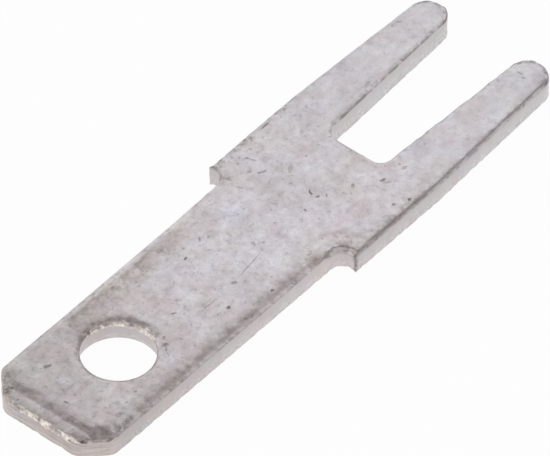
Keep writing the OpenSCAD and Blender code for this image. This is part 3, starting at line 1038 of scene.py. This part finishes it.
class TERMINAL_OT_blade(bpy.types.Operator):
    """Models the blade with its coined edges and its tin finish, in place of the CAD node"""

    bl_idname = "terminal.blade"
    bl_label = "Add the Blade"

    def execute(self, context):
        props = context.scene.tab_terminal
        s = plan(in_millimetres(props.blade))
        e = in_millimetres(props.edges)
        pen = draw_half(s)
        obj = pen.obj
        blank(pen, s)
        ring_edges(obj, pen, s)
        cut_grid(s, e)
        press_edges(obj, pen, s, e)
        roughen(obj, "rolling marks", 0.5, 0.004)
        roughen(obj, "torn metal", 0.1, e.torn_h, "torn")
        to_metres(obj)
        obj.name = "tinned_blade"
        obj.data.name = "tinned_blade"
        only(obj)
        bpy.ops.object.shade_smooth_by_angle(angle=math.radians(65))
        obj.data.materials.clear()
        obj.data.materials.append(tin_plate(props.finish, s))
        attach(obj, "root")
        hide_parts("blade")
        return {"FINISHED"}


def add_floor():
    """Adds a floor that looks white and keeps the blade's shadow."""
    bpy.ops.mesh.primitive_plane_add(size=FLOOR_EDGE, location=(0, 0, 0))
    floor = bpy.context.object
    floor.name = "floor"
    material = bpy.data.materials.new("pale floor")
    material.use_nodes = True
    n = Nodes(material.node_tree)
    path = n.add("LightPath").outputs
    seen = n.math("MAXIMUM", n.math("MAXIMUM", path["Is Camera Ray"], path["Is Glossy Ray"]),
                  path["Is Transmission Ray"])
    paint = n.add("BsdfDiffuse", {"Color": (0.95, 0.95, 0.95)}).outputs[0]
    white = n.add("Emission", {"Color": (1, 1, 1), "Strength": 1.0}).outputs[0]
    share = n.math("MULTIPLY", seen, FLOOR_GLOW)
    mixed = n.add("MixShader", {0: share, 1: paint, 2: white}).outputs[0]
    n.add("OutputMaterial", {"Surface": mixed})
    floor.data.materials.append(material)


def add_world(look):
    """Adds a light tent: bright walls all round, an open dark top and a dark gap at one side."""
    world = bpy.data.worlds.new("light tent")
    bpy.context.scene.world = world
    world.use_nodes = True
    n = Nodes(world.node_tree)
    way = n.add("TexCoord").outputs["Generated"]
    level = n.vector("NORMALIZE", n.vector("MULTIPLY", way, (1, 1, 0)))

    def facing(azimuth):
        turn = math.radians(azimuth)
        return n.vector("DOT_PRODUCT", level, (math.cos(turn), math.sin(turn), 0))

    wall = n.span(n.vector("DOT_PRODUCT", way, OPEN_TOP), 0.72, 1.0, 1, 0)
    gap = n.ease(facing(GAP_AZIMUTH), 0.7, 0.97, 1, 0.16)
    dim = n.ease(facing(DIM_AZIMUTH), 0.3, 0.9, 1, 0.75)
    lit = n.math("MULTIPLY", n.math("MULTIPLY", wall, gap), dim)
    strength = n.span(lit, 0, 1, look.top_light, look.wall_light)
    tint = n.mix(lit, (1.0, 0.94, 0.87), (1, 1, 1))
    light = n.add("Background", {"Color": tint, "Strength": strength}).outputs[0]
    n.add("OutputWorld", {"Surface": light})


def add_camera(look):
    ca, sa = math.cos(look.azimuth), math.sin(look.azimuth)
    ce, se = math.cos(look.elevation), math.sin(look.elevation)
    right = Vector((ca, sa, 0))
    back = Vector((sa * ce, -ca * ce, se))
    up = back.cross(right)
    data = bpy.data.cameras.new("camera")
    data.sensor_width = 36
    data.lens = look.lens
    data.clip_start = 0.01
    data.clip_end = 20
    camera = bpy.data.objects.new("camera", data)
    bpy.context.scene.collection.objects.link(camera)
    turn = Matrix((right, up, back)).transposed().to_4x4()
    camera.matrix_world = Matrix.Translation(Vector(AIM) * MM + back * look.distance) @ turn
    bpy.context.scene.camera = camera


class TERMINAL_OT_stage(bpy.types.Operator):
    """Adds the floor, the light and the camera"""

    bl_idname = "terminal.stage"
    bl_label = "Add the Stage"

    def execute(self, context):
        look = context.scene.tab_terminal.stage
        add_floor()
        add_world(look)
        add_camera(look)
        context.scene.view_settings.view_transform = "Standard"
        return {"FINISHED"}


class TerminalSettings(bpy.types.PropertyGroup):
    """All settings of the terminal."""

    blade: PointerProperty(type=BladeSizes)
    edges: PointerProperty(type=EdgeSizes)
    finish: PointerProperty(type=FinishLook)
    stage: PointerProperty(type=StageLook)


class TERMINAL_PT_panel(bpy.types.Panel):
    """Lists the operators and the settings"""

    bl_idname = "TERMINAL_PT_panel"
    bl_label = "Tab Terminal"
    bl_space_type = "VIEW_3D"
    bl_region_type = "UI"
    bl_category = "Tab Terminal"

    def draw(self, context):
        props = context.scene.tab_terminal
        for operator in OPERATORS:
            self.layout.operator(operator.bl_idname)
        for group in (props.blade, props.edges, props.finish, props.stage):
            box = self.layout.box()
            for name in setting_names(group):
                box.prop(group, name)


OPERATORS = (TERMINAL_OT_blade, TERMINAL_OT_stage)
CLASSES = (BladeSizes, EdgeSizes, FinishLook, StageLook, TerminalSettings, *OPERATORS,
           TERMINAL_PT_panel)


def register():
    for each in CLASSES:
        bpy.utils.register_class(each)
    bpy.types.Scene.tab_terminal = PointerProperty(type=TerminalSettings)


def unregister():
    del bpy.types.Scene.tab_terminal
    for each in reversed(CLASSES):
        bpy.utils.unregister_class(each)


def main():
    register()
    bpy.ops.terminal.blade()
    bpy.ops.terminal.stage()


if __name__ == "__main__":
    main()
